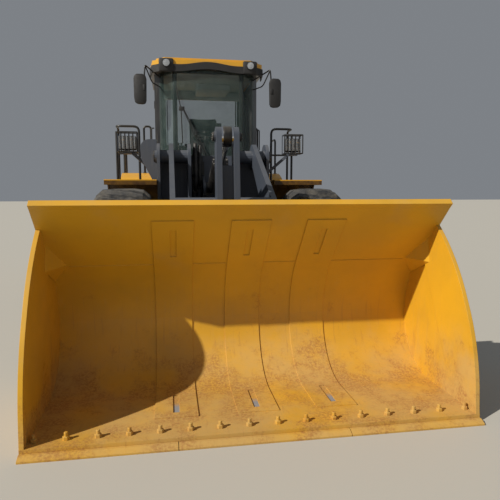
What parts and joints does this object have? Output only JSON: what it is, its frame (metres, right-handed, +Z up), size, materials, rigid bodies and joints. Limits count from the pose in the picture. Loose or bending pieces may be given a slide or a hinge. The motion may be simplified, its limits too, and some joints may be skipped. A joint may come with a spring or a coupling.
{
  "type": "wheel loader",
  "caption": "Articulated wheel loader with a straight-edged earth bucket on a single-rocker boom, closed cab with opening doors, rear engine hood and counterweight.",
  "frame": {"origin": "on the ground, midway between cutting edge and tail, on the centre line", "axes": "+Z up, the bucket faces -Y, +X is the machine's left"},
  "size_m": [3, 8.05, 3.4633],
  "materials": {
    "yellow_paint": "satin",
    "bucket_yellow": "satin",
    "grey_paint": "satin",
    "black_paint": "satin",
    "cast_grey": "matte",
    "worn_steel": "satin",
    "chrome_rod": "polished",
    "tyre_rubber": "matte",
    "cab_glass": "polished",
    "lamp_lens": "gloss",
    "black_plastic": "matte",
    "seat_fabric": "matte"
  },
  "bodies": {
    "rear_frame": {"rear_chassis": "grey_paint", "gearbox": "cast_grey", "engine_block": "cast_grey", "hood": "yellow_paint", "hood_rear_grille": "black_paint", "counterweight": "yellow_paint", "side_boxes": "yellow_paint", "rear_fenders": "yellow_paint", "steps": "black_paint", "handrails": "black_paint", "cab_floor": "black_paint", "cab_front": "black_paint", "cab_sides": "black_paint", "cab_rear": "black_paint", "cab_roof": "yellow_paint", "cab_glass": "cab_glass", "seat": "seat_fabric", "dash_and_steering": "black_plastic", "mirrors": "black_plastic", "roof_work_lamps": "lamp_lens", "exhaust_stack": "black_paint"},
    "rear_axle": {"rear_axle": "grey_paint"},
    "wheel_rear_left": {"tyre_rear_left": "tyre_rubber", "rim_rear_left": "yellow_paint"},
    "wheel_rear_right": {"tyre_rear_right": "tyre_rubber", "rim_rear_right": "yellow_paint"},
    "front_frame": {"front_frame": "grey_paint", "front_axle": "grey_paint", "front_drive_shaft": "grey_paint", "front_fenders": "yellow_paint", "headlamp_brackets": "grey_paint", "headlamps": "lamp_lens", "tower_side_housing": "grey_paint", "pilot_valve_block": "black_paint"},
    "wheel_front_left": {"tyre_front_left": "tyre_rubber", "rim_front_left": "yellow_paint"},
    "wheel_front_right": {"tyre_front_right": "tyre_rubber", "rim_front_right": "yellow_paint"},
    "boom": {"boom": "grey_paint"},
    "rocker": {"rocker": "grey_paint"},
    "bucket_link": {"bucket_link": "grey_paint"},
    "bucket": {"bucket": "bucket_yellow", "bucket_cutting_edge": "worn_steel"},
    "lift_barrels": {"lift_cylinder_barrels": "black_paint"},
    "lift_rods": {"lift_cylinder_rods": "chrome_rod"},
    "tilt_barrel": {"tilt_cylinder_barrel": "black_paint"},
    "tilt_rod": {"tilt_cylinder_rod": "chrome_rod"},
    "door_left": {"cab_door_left": "black_paint", "cab_door_glass_left": "cab_glass"},
    "door_right": {"cab_door_right": "black_paint", "cab_door_glass_right": "cab_glass"},
    "steer_barrel_left": {"steering_cylinder_barrel_left": "black_paint"},
    "steer_rod_left": {"steering_cylinder_rod_left": "chrome_rod"},
    "steer_barrel_right": {"steering_cylinder_barrel_right": "black_paint"},
    "steer_rod_right": {"steering_cylinder_rod_right": "chrome_rod"}
  },
  "joints": [
    {"name": "articulation", "type": "hinge", "parent": "rear_frame", "child": "front_frame", "pos_m": [0, 0.555, 0.8], "axis": [0, 0, 1], "range_deg": [-35, 35]},
    {"name": "rear_axle_oscillation", "type": "hinge", "parent": "rear_frame", "child": "rear_axle", "pos_m": [0, 2.205, 1], "axis": [0, 1, 0], "range_deg": [-10, 10]},
    {"name": "wheel_spin_rear_left", "type": "hinge", "parent": "rear_axle", "child": "wheel_rear_left", "pos_m": [1.1, 2.205, 0.8], "axis": [1, 0, 0], "continuous": true},
    {"name": "wheel_spin_rear_right", "type": "hinge", "parent": "rear_axle", "child": "wheel_rear_right", "pos_m": [-1.1, 2.205, 0.8], "axis": [1, 0, 0], "continuous": true},
    {"name": "wheel_spin_front_left", "type": "hinge", "parent": "front_frame", "child": "wheel_front_left", "pos_m": [1.1, -1.095, 0.8], "axis": [1, 0, 0], "continuous": true},
    {"name": "wheel_spin_front_right", "type": "hinge", "parent": "front_frame", "child": "wheel_front_right", "pos_m": [-1.1, -1.095, 0.8], "axis": [1, 0, 0], "continuous": true},
    {"name": "boom_lift", "type": "hinge", "parent": "front_frame", "child": "boom", "pos_m": [0, -0.175, 2.02], "axis": [-1, 0, 0], "range_deg": [0, 76]},
    {"name": "bucket_tilt", "type": "hinge", "parent": "boom", "child": "bucket", "pos_m": [0, -2.725, 0.29], "axis": [1, 0, 0], "range_deg": [-44, 119]},
    {"name": "rocker_swing", "type": "hinge", "parent": "boom", "child": "rocker", "pos_m": [0, -1.875, 1.36], "axis": [-1, 0, 0], "range_deg": [-17.25, 45.79]},
    {"name": "link_swing", "type": "hinge", "parent": "bucket", "child": "bucket_link", "pos_m": [0, -2.605, 0.66], "axis": [-1, 0, 0], "range_deg": [-36.93, 99.03]},
    {"name": "lift_barrel_swing", "type": "hinge", "parent": "front_frame", "child": "lift_barrels", "pos_m": [0, -0.045, 0.86], "axis": [-1, 0, 0], "range_deg": [-0.5, 43.27]},
    {"name": "lift_rod_slide", "type": "slide", "parent": "lift_barrels", "child": "lift_rods", "axis": [0, -0.9416, 0.3368], "range_m": [-0.002, 1.0224]},
    {"name": "tilt_barrel_swing", "type": "hinge", "parent": "front_frame", "child": "tilt_barrel", "pos_m": [0, -0.225, 1.6], "axis": [-1, 0, 0], "range_deg": [-0.5, 63.93]},
    {"name": "tilt_rod_slide", "type": "slide", "parent": "tilt_barrel", "child": "tilt_rod", "axis": [0, -0.951, 0.3091], "range_m": [-0.5897, 0.2193]},
    {"name": "door_left_hinge", "type": "hinge", "parent": "rear_frame", "child": "door_left", "pos_m": [0.7943, 1.541, 2.4], "axis": [0, 0, 1], "range_deg": [0, 95]},
    {"name": "door_right_hinge", "type": "hinge", "parent": "rear_frame", "child": "door_right", "pos_m": [-0.7943, 1.541, 2.4], "axis": [0, 0, -1], "range_deg": [0, 95]},
    {"name": "steering_barrel_swing_left", "type": "hinge", "parent": "rear_frame", "child": "steer_barrel_left", "pos_m": [0.43, 1.325, 0.775], "axis": [0, 0, 1], "range_deg": [-3.73, 3.73]},
    {"name": "steering_rod_slide_left", "type": "slide", "parent": "steer_barrel_left", "child": "steer_rod_left", "axis": [-0.0775, -0.997, 0], "range_m": [-0.2205, 0.2205]},
    {"name": "steering_barrel_swing_right", "type": "hinge", "parent": "rear_frame", "child": "steer_barrel_right", "pos_m": [-0.43, 1.325, 0.775], "axis": [0, 0, 1], "range_deg": [-3.73, 3.73]},
    {"name": "steering_rod_slide_right", "type": "slide", "parent": "steer_barrel_right", "child": "steer_rod_right", "axis": [0.0775, -0.997, 0], "range_m": [-0.2205, 0.2205]}
  ],
  "couplings": [
    {"joint": "rocker_swing", "follows": "bucket_tilt", "ratio": 0.38057},
    {"joint": "link_swing", "follows": "bucket_tilt", "ratio": 0.828},
    {"joint": "lift_barrel_swing", "follows": "boom_lift", "ratio": 0.56279},
    {"joint": "lift_rod_slide", "follows": "boom_lift", "m_per_rad": 0.76929},
    {"joint": "tilt_barrel_swing", "follows": "boom_lift", "ratio": 0.83466},
    {"joint": "tilt_rod_slide", "follows": "bucket_tilt", "m_per_rad": -0.28297},
    {"joint": "steering_barrel_swing_left", "follows": "articulation", "ratio": 0.092393},
    {"joint": "steering_rod_slide_left", "follows": "articulation", "m_per_rad": -0.35767},
    {"joint": "steering_barrel_swing_right", "follows": "articulation", "ratio": 0.092393},
    {"joint": "steering_rod_slide_right", "follows": "articulation", "m_per_rad": 0.35767}
  ]
}
